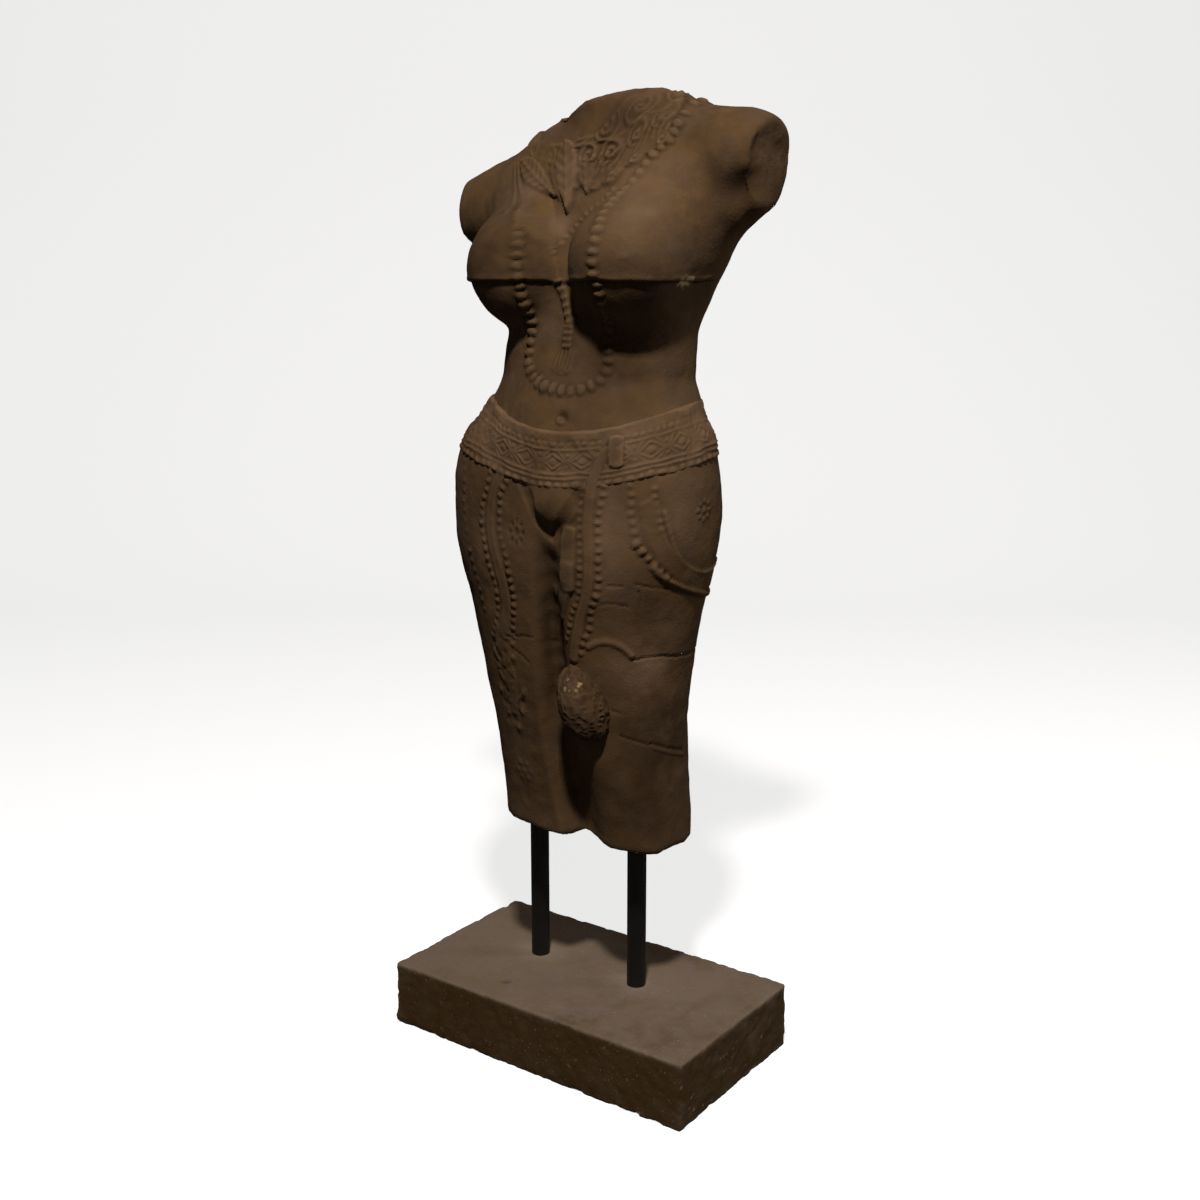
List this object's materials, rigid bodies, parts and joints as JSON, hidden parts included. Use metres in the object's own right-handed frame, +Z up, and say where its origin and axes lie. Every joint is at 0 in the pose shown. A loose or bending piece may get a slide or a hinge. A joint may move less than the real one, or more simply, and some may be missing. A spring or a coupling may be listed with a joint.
{
  "type": "terracotta torso sculpture",
  "caption": "Carved terracotta torso of a jewelled woman in a wrapped garment, headless and armless, cut at the knees and held over a rough rectangular plinth by round metal rods.",
  "frame": {"origin": "middle of the plinth's underside, on the surface it stands on", "axes": "+Z up, the figure looks along -Y, and its own left side, on the right in a front view, is +X"},
  "size_m": [0.4693, 0.2721, 1.211],
  "materials": {
    "terracotta": "unglazed brown terracotta, weathered and matte",
    "plinth_clay": "rough unglazed clay, dusty on top",
    "black_rod": "black satin paint"
  },
  "bodies": {
    "root": {"torso": "terracotta", "plinth": "plinth_clay", "left_mounting_rod": "black_rod", "right_mounting_rod": "black_rod"}
  },
  "joints": []
}
